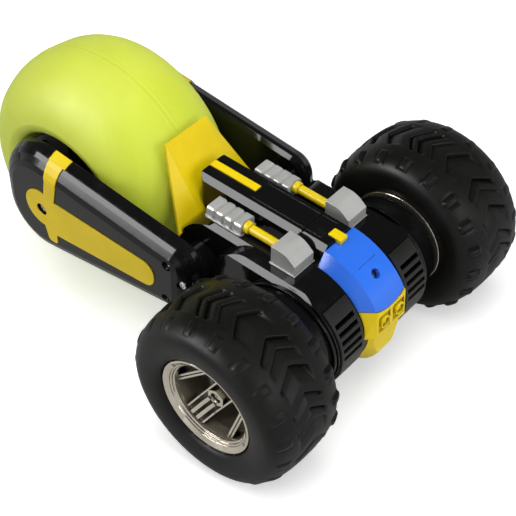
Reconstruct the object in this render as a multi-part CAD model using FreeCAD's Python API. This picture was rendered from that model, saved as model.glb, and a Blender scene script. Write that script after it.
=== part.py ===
import FreeCAD, Part
import math
import os

# Three-wheeled stunt car: two driven front wheels, one air-filled rear wheel in a swinging fork.
# The car is modelled level with its chassis: +X forward, +Y left, +Z up, with the origin on the
# front axle line.  At the end every piece is turned nose-down and lifted, so that all three wheels
# stand on Z = 0 and the origin is the centre of the footprint.  Millimetres and degrees.

V = FreeCAD.Vector
PARTS = {}

# ---- driving dimensions -------------------------------------------------------------------------
TYRE_R = 55.0            # front wheel, over the tread lugs
TYRE_MID = 85.6          # middle of the front tyre, out from the centre line
TYRE_HALF = 28.6
WHEELBASE = 175.5
BALLOON_R = 78.3         # rear wheel
BALLOON_HALF = 43.4
NOSE_R = 35.2            # round front of the body, about the front axle
BODY_HALF = 31.5         # half width of the middle of the body
BAY_HALF = 40.5          # half width over the gearbox bays
DECK_Z = 34.4
FLOOR_Z = -33.0
BARREL_R, BARREL_X, BARREL_Z = 28.0, -62.0, 5.0   # round rear end of the body
WALL = 2.0               # moulded wall thickness
SPLIT_Z = -4.0           # joint between upper and lower shell
FIT = 0.05               # radial running clearance
GAP = 0.3                # clearance between neighbouring mouldings

SPINE_TOP, SPINE_HALF, SPINE_END = 45.3, 12.5, -91.5
VISOR_R, VISOR_SCREW_ANGLE = 43.2, 51.5            # visor over its front, direction of its screw
BUMPER_HALF, BUMPER_FACE, BUMPER_FRONT = 18.4, 12.5, 40.2   # half width at body and front, front face
BUMPER_FOOT_Z, LAMP_Y, LAMP_Z = 1.1, 6.7, 10.2
ARM_IN, ARM_SPLIT, ARM_OUT = 45.0, 54.0, 60.7     # fork arm: inner face, joint, outer face
PIVOT_X, PIVOT_Z, PIVOT_R = -70.0, 6.0, 3.0       # fork pivot
AXLE_R = 2.0
RIM_OUT, RIM_IN = 110.3, 59.0                     # outer and inner edge of the chrome rim
RIM_SEAT_R = 27.3                                 # radius on which the tyre sits
SPOKE_ANGLE, CHORD_TURN = 239.0, 103.0            # direction of the rim's beam, chords to each side
HUB_FACE, WHEEL_SCREW_SEAT = 101.2, 99.0
DRUM_R, DRUM_OUT = 30.5, 56.4                     # axle housing reaching towards the wheel

# gear train: pinion -> compound gear -> output gear
FAST_MODULE, SLOW_MODULE = 0.6, 0.8
PINION_TEETH, WHEEL_TEETH = 10, 40
SMALL_TEETH, OUTPUT_TEETH = 12, 36
MOTOR_X, MOTOR_Z, MOTOR_R = -31.0, 12.0, 10.1
CASE_IN, CASE_OUT = 21.0, 35.5                    # gearbox case along Y
TOOTH_SHARE = 0.42                                # tooth thickness as a share of the pitch

CELL_R, CELL_LENGTH = 7.1, 50.0
COVER_X0, COVER_X1, COVER_HALF = -48.0, 10.0, 27.0
COVER_HINGE_X, COVER_HINGE_Z = -48.2, FLOOR_Z + 0.95
SWITCH_X, SWITCH_Y = -24.0, 33.5
JACK_X, JACK_Y, JACK_R = -24.0, -33.5, 1.8
SHELL_BOSSES = [(23.0, 12.0), (23.0, -12.0), (-58.0, 24.0), (-58.0, -24.0)]

SIT_ANGLE = math.degrees(math.asin((BALLOON_R - TYRE_R) / WHEELBASE))
SHIFT_X = (WHEELBASE * math.cos(math.radians(SIT_ANGLE)) + BALLOON_R - TYRE_R) / 2.0


# ---- shape helpers ------------------------------------------------------------------------------
def box(x0, x1, y0, y1, z0, z1):
    return Part.makeBox(x1 - x0, y1 - y0, z1 - z0, V(x0, y0, z0))


def cyl(r, y0, y1, x=0.0, z=0.0):
    """Cylinder along Y."""
    return Part.makeCylinder(r, y1 - y0, V(x, y0, z), V(0, 1, 0))


def post(r, z0, z1, x, y):
    """Cylinder along Z."""
    return Part.makeCylinder(r, z1 - z0, V(x, y, z0), V(0, 0, 1))


def tube(r_out, r_in, y0, y1, x=0.0, z=0.0):
    return cyl(r_out, y0, y1, x, z).cut(cyl(r_in, y0 - 1, y1 + 1, x, z))


def outline_wire(points, place):
    """Closed outline; a point is (u, v) or (u, v, corner radius).  place maps it to 3-D."""
    corners = []
    count = len(points)
    for i in range(count):
        here = V(points[i][0], points[i][1], 0)
        radius = points[i][2] if len(points[i]) > 2 else 0.0
        if radius <= 0:
            corners.append((here, None, here))
            continue
        back = V(points[i - 1][0], points[i - 1][1], 0) - here
        ahead = V(points[(i + 1) % count][0], points[(i + 1) % count][1], 0) - here
        half = back.getAngle(ahead) / 2.0
        reach = radius / math.tan(half)
        back.normalize()
        ahead.normalize()
        inward = back + ahead
        inward.normalize()
        centre = here + inward * (radius / math.sin(half))
        corners.append((here + back * reach, centre - inward * radius, here + ahead * reach))
    edges = []
    for i in range(count):
        start, top, end = corners[i]
        if top is not None:
            edges.append(Part.Arc(place(start), place(top), place(end)).toShape())
        following = corners[(i + 1) % count][0]
        if (following - end).Length > 1e-6:
            edges.append(Part.makeLine(place(end), place(following)))
    return Part.Wire(edges)


def plate(points, y0, y1):
    """Outline in X and Z, from y0 to y1."""
    wire = outline_wire(points, lambda p: V(p.x, y0, p.y))
    return Part.Face(wire).extrude(V(0, y1 - y0, 0))


def slab(points, z0, z1):
    """Outline in X and Y, from z0 to z1."""
    wire = outline_wire(points, lambda p: V(p.x, p.y, z0))
    return Part.Face(wire).extrude(V(0, 0, z1 - z0))


def bar(points, x0, x1):
    """Outline in Y and Z, from x0 to x1."""
    wire = outline_wire(points, lambda p: V(x0, p.x, p.y))
    return Part.Face(wire).extrude(V(x1 - x0, 0, 0))


def turned(points, x=0.0, z=0.0):
    """Outline of (y, radius) points turned fully about an axis along Y."""
    wire = outline_wire(points, lambda p: V(p.y, p.x, 0))
    solid = Part.Face(wire).revolve(V(0, 0, 0), V(0, 1, 0), 360)
    solid.translate(V(x, 0, z))
    return solid


def sector(points, low, high, x=0.0, z=0.0):
    """The same, but only from angle low to high, counted from +X towards +Z."""
    wire = outline_wire(points, lambda p: V(p.y, p.x, 0))
    solid = Part.Face(wire).revolve(V(0, 0, 0), V(0, -1, 0), high - low)
    solid.rotate(V(0, 0, 0), V(0, -1, 0), low)
    solid.translate(V(x, 0, z))
    return solid


def spun(shape, angle, x=0.0, z=0.0):
    """Copy turned about an axis along Y, from +X towards +Z."""
    copy = shape.copy()
    copy.rotate(V(x, 0, z), V(0, -1, 0), angle)
    return copy


def moved(shape, x=0.0, y=0.0, z=0.0):
    copy = shape.copy()
    copy.translate(V(x, y, z))
    return copy


def mirrored(shape):
    return shape.mirror(V(0, 0, 0), V(0, 1, 0))


def both(shape):
    return [shape, mirrored(shape)]


def join(shapes):
    return shapes[0].multiFuse(list(shapes[1:])).removeSplitter()


def less(shape, cutters):
    for cutter in cutters:
        shape = shape.cut(cutter)
    return shape


def direction(angle):
    return V(math.cos(math.radians(angle)), 0, math.sin(math.radians(angle)))


def screw(seat, out, head_r, head_h, shank_r, length):
    """Cross-head screw: the head stands on seat along out, the shank goes the other way."""
    head = Part.makeCylinder(head_r, head_h, seat, out)
    crown = Part.makeSphere(head_r * 1.9, seat - out * (head_r * 1.9 - head_h))
    head = head.common(crown)
    side = V(0, 1, 0).cross(out) if abs(out.y) < 0.5 else V(1, 0, 0)
    other = out.cross(side)
    slots = []
    for along, across in ((side, other), (other, side)):
        start = seat + out * (head_h * 0.4) - along * (head_r * 0.6) - across * 0.3
        face = Part.Face(Part.makePolygon([start, start + along * (head_r * 1.2),
                                           start + along * (head_r * 1.2) + across * 0.6,
                                           start + across * 0.6, start]))
        slots.append(face.extrude(out * head_h))
    shank = Part.makeCylinder(shank_r, length, seat - out * length, out)
    return less(head, slots).fuse(shank)


def save(name, *shapes):
    """Keep every solid of the shapes as one named piece."""
    PARTS[name] = [solid for shape in shapes for solid in shape.Solids]


def save_pair(name, left):
    save("left_" + name, left)
    save("right_" + name, mirrored(left))


# ---- body shells --------------------------------------------------------------------------------
def middle_form(grow):
    """Middle of the body; a negative grow gives the hollow inside it."""
    half = BODY_HALF + grow
    nose = cyl(NOSE_R + grow, -half, half)
    barrel = cyl(BARREL_R + grow, -half, half, BARREL_X, BARREL_Z)
    trunk = plate([(0, DECK_Z + grow), (-65, DECK_Z + grow), (-82, 19), (-82, -4),
                   (-74, -18 - grow), (-52, FLOOR_Z - grow), (12, FLOOR_Z - grow), (20, 0)],
                  -half, half)
    return join([nose, barrel, trunk])


def bay_form(grow):
    """Wider part of the body around the front axle, which holds the gearboxes."""
    half = BAY_HALF + grow
    trunk = plate([(-56 - grow, DECK_Z + grow, 22), (-56 - grow, FLOOR_Z - grow, 14),
                   (12, FLOOR_Z - grow), (18, 0), (0, DECK_Z + grow)], -half, half)
    return join([trunk, cyl(NOSE_R + grow, -half, half)])


def edge_chamfer(half):
    """Cross-section with both upper edges cut off at about 45 degrees."""
    low, high = DECK_Z - 3.0, NOSE_R + 5.0
    return [(-half, -60), (half, -60), (half, low), (half - 3.2, DECK_Z), (half - 3.2, high),
            (-half + 3.2, high), (-half + 3.2, DECK_Z), (-half, low)]


def body_form():
    middle = middle_form(0).common(bar(edge_chamfer(BODY_HALF), -100, 60))
    bays = bay_form(0).common(bar(edge_chamfer(BAY_HALF), -100, 60))
    return join([middle, bays])


def cover_outline(grow):
    x0, x1, half = COVER_X0 - 1.1 - grow, COVER_X1 + grow, COVER_HALF + grow
    return [(x0, -half), (x1, -half, 3), (x1, half, 3), (x0, half)]


VENT_SLOT_HALF = 1.5


def vent_slots():
    slots = []
    for angle in (37.0, 28.5, 20.0, 11.5, 3.0):
        slot = box(NOSE_R - 4, NOSE_R + 4, 21.5, 37.2, -VENT_SLOT_HALF, VENT_SLOT_HALF)
        slots += both(spun(slot, angle))
    return slots


def body_shells(form):
    hollow = join([middle_form(-WALL), bay_form(-WALL)])
    shell = form.cut(hollow)
    shell = less(shell, [cyl(DRUM_R - 2.0, 30, 60), cyl(DRUM_R - 2.0, -60, -30)])
    shell = less(shell, [cyl(PIVOT_R, -60, 60, PIVOT_X, PIVOT_Z)])
    shell = less(shell, vent_slots())
    above = box(-200, 100, -100, 100, SPLIT_Z, 100)
    below = box(-200, 100, -100, 100, -100, SPLIT_Z - 0.2)
    upper, lower = shell.common(above), shell.common(below)
    upper = upper.cut(visor_screw_hole(1.25, 25, 50))
    for x, y in SHELL_BOSSES:
        inside = post(3.2, -60, 60, x, y).common(form)
        upper = upper.fuse(inside.common(above)).cut(post(1.2, SPLIT_Z - 5, 12, x, y))
        lower = lower.fuse(inside.common(below)).cut(post(1.5, -60, SPLIT_Z + 5, x, y))
        lower = lower.cut(post(2.9, -60, -22, x, y))
    for x, y in ((-44.0, 18.0), (-44.0, -18.0), (-12.0, 18.0), (-12.0, -18.0)):
        upper = upper.fuse(post(1.8, 26.6, DECK_Z - WALL + 0.5, x, y))
    # battery opening with the seat and the hinge holes of its cover
    lower = lower.cut(slab(cover_outline(0.3), FLOOR_Z - 1, FLOOR_Z + WALL + 1))
    ledge = box(COVER_X1 - 2, COVER_X1 + 2.5, -12, 12, FLOOR_Z + WALL - 0.05, FLOOR_Z + WALL + 1.4)
    lower = lower.fuse(ledge)
    lower = lower.cut(cyl(0.75, -COVER_HALF - 2, COVER_HALF + 2, COVER_HINGE_X, COVER_HINGE_Z))
    # switch slot and jack hole
    lower = lower.cut(box(SWITCH_X - 2.1, SWITCH_X + 6.1, SWITCH_Y - 1.8, SWITCH_Y + 1.8,
                          FLOOR_Z - 1, FLOOR_Z + WALL + 1))
    lower = lower.cut(post(JACK_R + 2.0, FLOOR_Z - 1, FLOOR_Z + WALL + 1, JACK_X, JACK_Y))
    save("upper_shell", upper.removeSplitter())
    save("lower_shell", lower.removeSplitter())


def body_screws():
    screws = [screw(V(x, y, -22), V(0, 0, -1), 2.6, 1.8, 1.2, 30) for x, y in SHELL_BOSSES]
    visor_out = direction(VISOR_SCREW_ANGLE)
    screws.append(screw(visor_out * 38.5, visor_out, 2.5, 1.5, 1.2, 7))
    save("body_screws", *screws)


def visor_screw_hole(radius, low, high):
    axis = direction(VISOR_SCREW_ANGLE)
    return Part.makeCylinder(radius, high - low, axis * low, axis)


def vent_grilles():
    grille = sector([(19.3, NOSE_R), (19.3, NOSE_R + 0.7), (20.0, NOSE_R + 1.3),
                     (38.2, NOSE_R + 1.3), (38.9, NOSE_R + 0.7), (38.9, NOSE_R)], -44, 54)
    save_pair("vent_grille", less(grille, vent_slots()))


# ---- spine, visor, bumper, mudguard -------------------------------------------------------------
GUARD_TOP_X, GUARD_TOP_Z, GUARD_FOOT_X, GUARD_FOOT_Z = -111.7, 58.2, -85.9, 20.0


def behind_guard(margin):
    """Everything behind the mudguard's sloping face."""
    run = V(GUARD_TOP_X - GUARD_FOOT_X, 0, GUARD_TOP_Z - GUARD_FOOT_Z)
    low = V(GUARD_FOOT_X + margin * 1.2, 0, GUARD_FOOT_Z) - run * 0.3
    high = low + run * 1.4
    return plate([(low.x, low.z), (high.x, high.z), (-150, high.z), (-150, low.z)], -60, 60)


def spine_form(grow, x0, x1, low):
    top, half = SPINE_TOP + grow, SPINE_HALF + grow
    section = [(-half, low), (half, low), (half, top - 3.6), (half - 3.0, top),
               (-half + 3.0, top), (-half, top - 3.6)]
    end = SPINE_END - grow
    plan = [(end, -half, 5), (x1, -half), (x1, half), (end, half, 5)]
    return bar(section, x0, x1).common(slab(plan, low, top))


def spine_covers(form):
    outer = spine_form(0, SPINE_END, 0.6, 18.0).cut(form).cut(behind_guard(GAP))
    hollow = spine_form(-1.8, SPINE_END, -1.4, 10.0)
    shell = outer.cut(hollow)
    stripe_slot = box(-110, -56.6, -2.9, 2.9, SPINE_TOP - 0.8, SPINE_TOP + 1)
    clip_slot = box(-4.7, 6, -3.3, 3.3, SPINE_TOP - 0.8, SPINE_TOP + 1)
    seam = join([box(-17.2, -16.8, -20, 20, 0, 80),
                 box(-17.5, -16.5, -20, 20, SPINE_TOP - 0.5, 80)])
    hatch_line = join([box(-56, -6, s * 7.2 - 0.2, s * 7.2 + 0.2, SPINE_TOP - 0.4, SPINE_TOP + 1)
                       for s in (-1, 1)])
    shell = less(shell, [stripe_slot, clip_slot, seam, hatch_line])
    save("spine_rear_cover", shell.common(box(-120, -17.0, -30, 30, 0, 80)))
    save("spine_front_cover", shell.common(box(-17.0, 30, -30, 30, 0, 80)))
    clip = slab([(-4.5, -3.1, 0.5), (4.3, -3.1, 0.5), (4.3, 3.1, 0.5), (-4.5, 3.1, 0.5)],
                SPINE_TOP - 0.7, SPINE_TOP + 0.7)
    foot = box(0.8, 4.3, -3.1, 3.1, VISOR_R - 1.0, SPINE_TOP)
    stripe = box(SPINE_END + 0.2, -57.0, -2.6, 2.6, SPINE_TOP - 0.7, SPINE_TOP + 0.6)
    save("spine_inserts", clip.fuse(foot).cut(visor_form(0)), stripe)


def parting(radius, shift):
    """Bowed cylinder that separates the visor from the bumper."""
    low = direction(23.5) * NOSE_R + direction(117) * (30.0 + shift)
    return Part.makeCylinder(radius, 60, low - direction(30) * 30, direction(30))


def visor_section(depth):
    top, foot = VISOR_R - depth, NOSE_R + 0.1
    return [(-18.2 + depth, foot), (-12.6 + depth * 0.4, top), (12.6 - depth * 0.4, top),
            (18.2 - depth, foot)]


def visor_form(depth):
    return sector(visor_section(depth), 12, 89.5)


def visor(form):
    shell = visor_form(0).cut(visor_form(1.8))
    shell = shell.common(box(0.9, 100, -50, 50, -50, 100))
    shell = less(shell, [form, visor_screw_hole(2.9, 30, 60)])
    crease = cyl(0.3, -7.5, 7.5, *(direction(62) * VISOR_R)[::2])
    shell = shell.cut(crease)
    seat = less(visor_screw_hole(4.1, 34, 42), [form, visor_screw_hole(1.25, 30, 50)])
    seat = seat.common(visor_form(0.5)).cut(visor_screw_hole(2.9, 38.5, 60))
    shell = shell.common(parting(30.0 - GAP / 2, 0))
    shell = shell.fuse(seat)
    save("visor", shell)


CHIN_FRONT = 37.4            # skid plate under the bumper, set back from its face


def outside(a, b, c):
    """Large block on the outer side of the plane through three points."""
    normal = (b - a).cross(c - a)
    normal = normal if normal.dot(a) > 0 else normal * -1
    normal.normalize()
    along = (b - a).normalize()
    across = normal.cross(along)
    corners = [a + along * u + across * w for u, w in ((-90, -90), (90, -90), (90, 90), (-90, 90))]
    return Part.Face(Part.makePolygon(corners + [corners[0]])).extrude(normal * 90)


def bumper_block():
    """Flat front between the lamps, then two facets on each flank running back to the body."""
    block = box(20, BUMPER_FRONT + 1, -BUMPER_HALF, BUMPER_HALF, BUMPER_FOOT_Z, 31)
    low, high = V(BUMPER_FRONT, BUMPER_FACE, BUMPER_FOOT_Z), V(BUMPER_FRONT - 0.9, BUMPER_FACE, 18.2)
    back_low, back_high = V(35.2, BUMPER_HALF, BUMPER_FOOT_Z), V(29.0, BUMPER_HALF, 18.2)
    block = block.cut(outside(low, high, V(low.x, -low.y, low.z)))
    flanks = [outside(low, high, back_low), outside(high, back_high, back_low)]
    return less(block, flanks + [mirrored(flank) for flank in flanks])


def lamp(y):
    """Bezel ring round a shallow dome."""
    at = V(BUMPER_FRONT - 2.0, y, LAMP_Z)
    ring = Part.makeCylinder(4.0, 2.8, at, V(1, 0, 0)).cut(Part.makeCylinder(3.0, 4, at, V(1, 0, 0)))
    return join([ring, Part.makeSphere(2.3, at)])


def bumper(form):
    block = bumper_block()
    for side in (-1, 1):
        low, high = sorted((side * 1.2, side * 11.4))
        block = block.cut(box(BUMPER_FRONT - 1.8, BUMPER_FRONT + 1, low, high, 3.4, 15.6))
    foot = NOSE_R + 0.4
    chin = sector([(-14.5, NOSE_R - 1), (-14.5, foot), (-12.5, 36.9), (-6.2, 41.8), (6.2, 41.8),
                   (12.5, 36.9), (14.5, foot), (14.5, NOSE_R - 1)], -45.0, 6)
    chin = chin.common(box(0, CHIN_FRONT, -30, 30, -60, BUMPER_FOOT_Z + 0.6))
    solid = block.fuse(chin).fuse(lamp(-LAMP_Y).Solids).fuse(lamp(LAMP_Y).Solids)
    solid = less(solid, [form, parting(30.0 + GAP / 2, 0), cyl(NOSE_R, -30, 30)])
    grilles = [g for s in ("left", "right") for g in PARTS[s + "_vent_grille"]]
    solid = less(solid, grilles).removeSplitter()
    save("bumper", max(solid.Solids, key=lambda piece: piece.Volume))


def mudguard(form):
    slope = V(GUARD_FOOT_X - GUARD_TOP_X, 0, GUARD_FOOT_Z - GUARD_TOP_Z)
    slope.normalize()
    thick = V(slope.z, 0, -slope.x) * 2.0
    top, foot = V(GUARD_TOP_X, 17.2, GUARD_TOP_Z), V(GUARD_FOOT_X, 17.0, GUARD_FOOT_Z)
    corner = V(-87.5, 33.6, 14.0)
    panel = Part.Face(Part.makePolygon([top, foot, V(foot.x, -foot.y, foot.z),
                                        V(top.x, -top.y, top.z), top])).extrude(thick)
    wing = Part.Face(Part.makePolygon([top, foot, corner, top])).extrude(thick)
    foot_plate = sector([(-17, BARREL_R + 0.1), (17, BARREL_R + 0.1), (17, BARREL_R + 1.9),
                         (-17, BARREL_R + 1.9)], 150, 184, BARREL_X, BARREL_Z)
    solid = join([panel, wing, mirrored(wing), foot_plate])
    save("mudguard", solid.cut(form))


# ---- deck fittings ------------------------------------------------------------------------------
def engine_block():
    section = [(14.7, DECK_Z), (14.7, 41.8, 1.6), (26.6, 41.8, 2.2), (27.0, DECK_Z)]
    block = bar(section, -72.6, -47.2)
    ends = plate([(-72.9, DECK_Z - 1), (-72.2, 43, 1.5), (-47.6, 43, 3), (-46.8, DECK_Z - 1)], 0, 40)
    block = block.common(ends)
    base = slab([(-73.6, 14.0, 1), (-46.2, 14.0, 1), (-46.2, 27.9, 2), (-73.6, 27.9, 2)],
                DECK_Z, DECK_Z + 0.9)
    grooves = []
    for x in (-66.3, -59.9, -53.5):
        grooves.append(cyl(1.9, 10, 30, x, 42.6))
        grooves.append(post(1.7, DECK_Z + 0.9, 50, x, 27.6))
        grooves.append(post(1.7, DECK_Z + 0.9, 50, x, 13.9))
    return less(block, grooves).fuse(base)


def piston_rod():
    axis = V(1, 0, 0)
    seat = V(-47.2, 21.5, 38.2)
    collar = Part.makeCylinder(3.7, 3.4, seat, axis)
    collar = collar.makeFillet(1.1, [e for e in collar.Edges if e.BoundBox.XMin > -44.0])
    neck = Part.makeCylinder(2.5, 1.0, seat + axis * 3.2, axis)
    rod = Part.makeCylinder(2.8, 24.2, seat + axis * 4.0, axis)
    return join([collar, neck, rod])


def intake_scoop():
    side = [(-21.0, DECK_Z), (-21.0, 47.2), (-11.5, 47.4, 13), (-4.4, 41.6, 0.6), (-4.4, DECK_Z)]
    body = plate(side, 15.5, 31.8)
    inner = plate([(-22.0, DECK_Z - 1), (-22.0, 45.4), (-12.2, 45.6, 11), (-6.2, 40.6), (-6.2, DECK_Z - 1)],
                  17.3, 30.0)
    base = slab([(-21.8, 15.0), (-3.6, 15.0), (-3.6, 32.4), (-21.8, 32.4)], DECK_Z, DECK_Z + 0.8)
    return body.cut(inner).fuse(base.cut(inner)).removeSplitter()


def deck_fittings(form):
    save_pair("engine_block", less(engine_block(), [form, piston_rod()]))
    save_pair("piston_rod", piston_rod().cut(form))
    save_pair("intake_scoop", less(intake_scoop(), [form, spine_form(0.1, SPINE_END, 0.7, 18)]))


# ---- gearboxes and motors -----------------------------------------------------------------------
def gear(teeth, module, y0, y1, bore, phase, x=0.0, z=0.0):
    """Spur gear with involute flanks; a tooth is centred on the angle phase."""
    pitch_r = teeth * module / 2.0
    base_r = pitch_r * math.cos(math.radians(20))
    tip_r, root_r = pitch_r + 0.85 * module, pitch_r - 1.25 * module
    half_tooth = math.pi * TOOTH_SHARE / teeth
    flank_turn = math.tan(math.radians(20)) - math.radians(20)

    def flank(radius):
        if radius <= base_r:
            return half_tooth + flank_turn
        pressure = math.acos(base_r / radius)
        return half_tooth + flank_turn - (math.tan(pressure) - pressure)

    radii = [root_r, max(base_r, root_r + 0.05), (pitch_r + base_r) / 2.0 + 0.02, pitch_r,
             (pitch_r + tip_r) / 2.0, tip_r]
    points = []
    for tooth in range(teeth):
        middle = math.radians(phase) + 2.0 * math.pi * tooth / teeth
        for radius in radii:
            points.append((radius, middle - flank(radius)))
        for radius in reversed(radii):
            points.append((radius, middle + flank(radius)))
    corners = [V(x + r * math.cos(a), y0, z + r * math.sin(a)) for r, a in points]
    face = Part.Face(Part.makePolygon(corners + [corners[0]]))
    return face.extrude(V(0, y1 - y0, 0)).cut(cyl(bore, y0 - 1, y1 + 1, x, z))


def compound_centre():
    """Where the compound gear meshes with both the output gear and the pinion."""
    fast = FAST_MODULE * (PINION_TEETH + WHEEL_TEETH) / 2.0
    slow = SLOW_MODULE * (SMALL_TEETH + OUTPUT_TEETH) / 2.0
    span = math.hypot(MOTOR_X, MOTOR_Z)
    along = (slow ** 2 - fast ** 2 + span ** 2) / (2.0 * span)
    aside = math.sqrt(slow ** 2 - along ** 2)
    unit_x, unit_z = MOTOR_X / span, MOTOR_Z / span
    return along * unit_x - aside * unit_z, along * unit_z + aside * unit_x


def case_outline(grow):
    return [(17.2 + grow, -16.4 - grow, 14), (17.2 + grow, 17.2 + grow, 15),
            (-34, 24.0 + grow, 9), (-44.5 - grow, 19, 7), (-44.5 - grow, 2, 7), (-20, -16.4 - grow, 8)]


def gearboxes():
    gear_x, gear_z = compound_centre()
    case = plate(case_outline(0), CASE_IN, CASE_OUT)
    case = case.cut(plate(case_outline(-1.0), CASE_IN + 2, CASE_OUT + 1))
    case = less(case, [cyl(3.5, 0, 60), cyl(1.0, 0, 60, gear_x, gear_z),
                       cyl(3.0, 0, 60, MOTOR_X, MOTOR_Z)])
    save_pair("gearbox_case", case)
    lid = plate(case_outline(0), CASE_OUT, CASE_OUT + 1.8)
    lid = less(lid, [cyl(3.5, 0, 60), cyl(1.0, 0, 60, gear_x, gear_z)])
    save("gearbox_lids", *both(lid))
    save("gear_pins", *both(cyl(1.0, CASE_IN, CASE_OUT + 1.8, gear_x, gear_z)))
    bushes = [tube(3.5, AXLE_R + FIT, CASE_IN - 0.6, CASE_IN + 2),
              tube(3.5, AXLE_R + FIT, CASE_OUT - 0.8, CASE_OUT + 2.2),
              tube(3.5, AXLE_R + FIT, DRUM_OUT - 3.0, DRUM_OUT + 0.8)]
    save("axle_bushes", *[b for bush in bushes for b in both(bush)])
    # gears
    to_compound = math.degrees(math.atan2(gear_z, gear_x))
    to_motor = math.degrees(math.atan2(MOTOR_Z - gear_z, MOTOR_X - gear_x))
    small_phase = to_compound + 180 + 180.0 / SMALL_TEETH
    pinion_phase = to_motor + 180 + 180.0 / PINION_TEETH
    save_pair("output_gear", gear(OUTPUT_TEETH, SLOW_MODULE, 27.9, 32.9, AXLE_R, to_compound))
    small = gear(SMALL_TEETH, SLOW_MODULE, 26.9, 33.6, 1.0 + FIT, small_phase, gear_x, gear_z)
    large = gear(WHEEL_TEETH, FAST_MODULE, 23.6, 27.0, 1.0 + FIT, to_motor, gear_x, gear_z)
    save_pair("compound_gear", join([small, large]))
    pinion = gear(PINION_TEETH, FAST_MODULE, 23.4, 27.6, 0.9, pinion_phase, MOTOR_X, MOTOR_Z)
    shaft = cyl(1.0, 2.4, 28.4, MOTOR_X, MOTOR_Z)
    save_pair("motor_pinion", join([pinion, shaft]))


def motor():
    can = cyl(MOTOR_R, 0.8, CASE_IN, MOTOR_X, MOTOR_Z)
    flats = box(MOTOR_X - 20, MOTOR_X + 20, 0, 40, MOTOR_Z - 7.7, MOTOR_Z + 7.7)
    nose = cyl(2.9, CASE_IN, CASE_IN + 1.8, MOTOR_X, MOTOR_Z)
    return join([can.common(flats), nose]).cut(cyl(1.0 + FIT, 2.2, 60, MOTOR_X, MOTOR_Z))


def axle_housing():
    """Flange on the body side and the drum that carries the outer axle bush."""
    profile = [(BAY_HALF - WALL, DRUM_R - 4.0), (BAY_HALF - WALL, DRUM_R - 2.1),
               (BAY_HALF + 0.1, DRUM_R - 2.1), (BAY_HALF + 0.1, DRUM_R + 3.9, 0.6),
               (BAY_HALF + 2.5, DRUM_R + 3.9, 0.8), (BAY_HALF + 2.5, DRUM_R + 1.2),
               (DRUM_OUT, DRUM_R, 2.0), (DRUM_OUT, 3.5), (DRUM_OUT - 2.2, 3.5),
               (DRUM_OUT - 2.2, DRUM_R - 4.0)]
    return turned(profile)


# ---- electrics ----------------------------------------------------------------------------------
def electrics():
    board = slab([(-50, -21, 2), (-8, -21, 2), (-8, 21, 2), (-50, 21, 2)], 25.0, 26.6)
    save("circuit_board", board)
    parts = [box(-40, -26, -6, 6, 26.6, 28.6), box(-20, -14, -12, -4, 26.6, 29.4),
             post(2.5, 26.6, 31.5, -20, 8), post(2.5, 26.6, 31.5, -30, 13),
             box(-36, -30, -16, -10, 26.6, 30.0)]
    save("board_components", *parts)
    centre_z = FLOOR_Z + WALL + 0.15 + CELL_R
    cells, strips = [], []
    for number in range(4):
        x = -41.2 + number * (2 * CELL_R + 0.2)
        way = 1 if number % 2 else -1
        low, high = sorted((-way * CELL_LENGTH / 2.0, way * (CELL_LENGTH / 2.0 - 1.2)))
        nub_low, nub_high = sorted((way * (CELL_LENGTH / 2.0 - 1.3), way * CELL_LENGTH / 2.0))
        cells.append(join([cyl(CELL_R, low, high, x, centre_z), cyl(2.5, nub_low, nub_high, x, centre_z)]))
    for way in (-1, 1):
        inner, outer = sorted((way * (CELL_LENGTH / 2.0 + 0.1), way * (CELL_LENGTH / 2.0 + 0.7)))
        for x0, x1 in ((-47.0, -20.5), (-18.5, 8.0)):
            strips.append(box(x0, x1, inner, outer, FLOOR_Z + WALL + 1, FLOOR_Z + WALL + 12))
    save("battery_cells", *cells)
    save("battery_contacts", *strips)
    save("switch_body", box(SWITCH_X - 6, SWITCH_X + 10, SWITCH_Y - 3.4, SWITCH_Y + 3.4,
                            FLOOR_Z + 4.4, FLOOR_Z + 9.4))
    stem = box(SWITCH_X - 1.9, SWITCH_X + 1.9, SWITCH_Y - 1.6, SWITCH_Y + 1.6,
               FLOOR_Z - 1.2, FLOOR_Z + 3.0)
    ribs = [box(SWITCH_X + x - 0.25, SWITCH_X + x + 0.25, SWITCH_Y - 2, SWITCH_Y + 2,
                FLOOR_Z - 1.3, FLOOR_Z - 0.8) for x in (-1.2, 0, 1.2)]
    flange = box(SWITCH_X - 6, SWITCH_X + 6, SWITCH_Y - 2.6, SWITCH_Y + 2.6,
                 FLOOR_Z + 2.3, FLOOR_Z + 3.9)
    save("power_switch", join([less(stem, ribs), flange]))
    socket = box(JACK_X - 5, JACK_X + 5, JACK_Y - 4, JACK_Y + 4, FLOOR_Z + WALL, FLOOR_Z + 11)
    collar = post(JACK_R + 1.9, FLOOR_Z, FLOOR_Z + 5, JACK_X, JACK_Y)
    save("charge_socket", join([socket, collar]).cut(post(JACK_R, FLOOR_Z - 1, FLOOR_Z + 9, JACK_X, JACK_Y)))


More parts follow.
